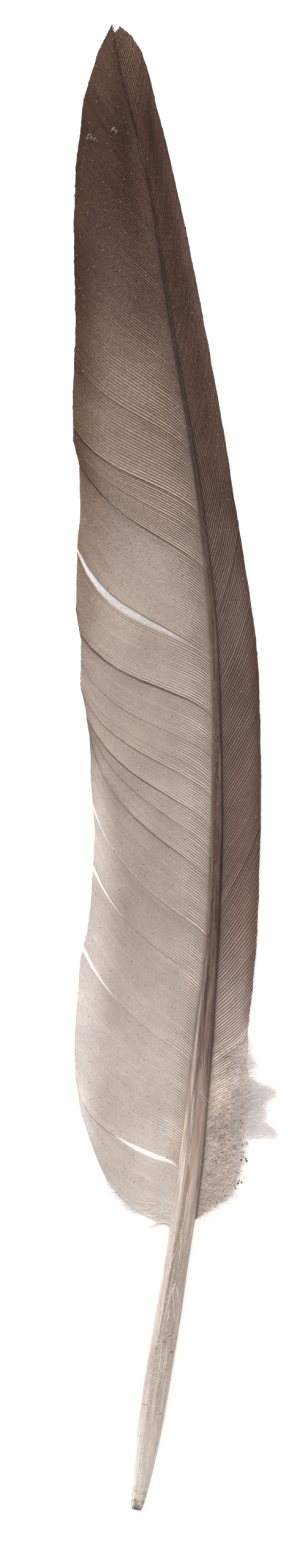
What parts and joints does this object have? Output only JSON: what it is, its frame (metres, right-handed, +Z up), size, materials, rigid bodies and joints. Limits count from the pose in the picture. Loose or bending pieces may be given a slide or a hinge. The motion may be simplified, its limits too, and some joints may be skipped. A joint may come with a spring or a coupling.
{
  "type": "quill feather",
  "caption": "Uncut flight feather for a quill pen: hollow horn tube with dried pulp, tapering grooved shaft, wide and narrow vanes split into panels that flex at their roots, and loose down.",
  "frame": {"origin": "on the surface the feather lies on, under the middle of its box", "axes": "+X across the feather from the wide inner vane to the narrow outer vane, +Y along it from the horn tube to the feather's tip, +Z up, out of the grooved underside of the shaft"},
  "size_m": [0.0409, 0.3002, 0.0054],
  "materials": {
    "tube_horn": "satin",
    "dry_scab": "matte",
    "dry_pulp": "matte",
    "shaft_horn": "satin",
    "pith": "matte",
    "inner_web": "matte",
    "outer_web": "matte",
    "down": "matte"
  },
  "bodies": {
    "shaft": {"calamus": "tube_horn", "umbilicus_plug": "dry_scab", "pulp_cups": "dry_pulp", "pulp_strand": "dry_pulp", "rachis_cortex": "shaft_horn", "rachis_pith": "pith", "inner_vane_1": "inner_web", "outer_vane_1": "outer_web", "outer_down": "down", "inner_down": "down"},
    "inner_vane_2": {"inner_vane_2": "inner_web"},
    "inner_vane_3": {"inner_vane_3": "inner_web"},
    "inner_vane_4": {"inner_vane_4": "inner_web"},
    "inner_vane_5": {"inner_vane_5": "inner_web"},
    "inner_vane_6": {"inner_vane_6": "inner_web"},
    "inner_vane_7": {"inner_vane_7": "inner_web"},
    "inner_vane_8": {"inner_vane_8": "inner_web"},
    "inner_vane_9": {"inner_vane_9": "inner_web"},
    "outer_vane_2": {"outer_vane_2": "outer_web"},
    "outer_vane_3": {"outer_vane_3": "outer_web"}
  },
  "joints": [
    {"name": "inner_vane_2_flex", "type": "hinge", "parent": "shaft", "child": "inner_vane_2", "pos_m": [0.00536, 0.0462, 0.00059], "axis": [-0.1072, 0.9942, -0.0052], "range_deg": [-4, 25], "stiffness_Nm_per_rad": 0.001},
    {"name": "inner_vane_3_flex", "type": "hinge", "parent": "shaft", "child": "inner_vane_3", "pos_m": [0.00662, 0.0316, 0.00066], "axis": [-0.0679, 0.9977, -0.0053], "range_deg": [-4, 25], "stiffness_Nm_per_rad": 0.001},
    {"name": "inner_vane_4_flex", "type": "hinge", "parent": "shaft", "child": "inner_vane_4", "pos_m": [0.00735, 0.0165, 0.00074], "axis": [-0.0257, 0.9997, -0.0053], "range_deg": [-4, 25], "stiffness_Nm_per_rad": 0.001},
    {"name": "inner_vane_5_flex", "type": "hinge", "parent": "shaft", "child": "inner_vane_5", "pos_m": [0.0074, -0.00035, 0.00084], "axis": [0.012, 0.9999, -0.0059], "range_deg": [-4, 25], "stiffness_Nm_per_rad": 0.001},
    {"name": "inner_vane_6_flex", "type": "hinge", "parent": "shaft", "child": "inner_vane_6", "pos_m": [0.00706, -0.01675, 0.00094], "axis": [0.0319, 0.9995, -0.0064], "range_deg": [-4, 25], "stiffness_Nm_per_rad": 0.001},
    {"name": "inner_vane_7_flex", "type": "hinge", "parent": "shaft", "child": "inner_vane_7", "pos_m": [0.00614, -0.03255, 0.00105], "axis": [0.079, 0.9968, -0.0084], "range_deg": [-4, 25], "stiffness_Nm_per_rad": 0.001},
    {"name": "inner_vane_8_flex", "type": "hinge", "parent": "shaft", "child": "inner_vane_8", "pos_m": [0.003, -0.0608, 0.00133], "axis": [0.1235, 0.9923, -0.0104], "range_deg": [-4, 25], "stiffness_Nm_per_rad": 0.001},
    {"name": "inner_vane_9_flex", "type": "hinge", "parent": "shaft", "child": "inner_vane_9", "pos_m": [-0.00011, -0.08545, 0.00168], "axis": [0.1315, 0.9911, -0.022], "range_deg": [-4, 25], "stiffness_Nm_per_rad": 0.001},
    {"name": "outer_vane_2_flex", "type": "hinge", "parent": "shaft", "child": "outer_vane_2", "pos_m": [0.00944, 0.00065, 0.00084], "axis": [0.0117, -0.9999, 0.0059], "range_deg": [-4, 25], "stiffness_Nm_per_rad": 0.001},
    {"name": "outer_vane_3_flex", "type": "hinge", "parent": "shaft", "child": "outer_vane_3", "pos_m": [0.00861, -0.0431, 0.00115], "axis": [-0.0587, -0.9982, 0.0094], "range_deg": [-4, 25], "stiffness_Nm_per_rad": 0.001}
  ]
}
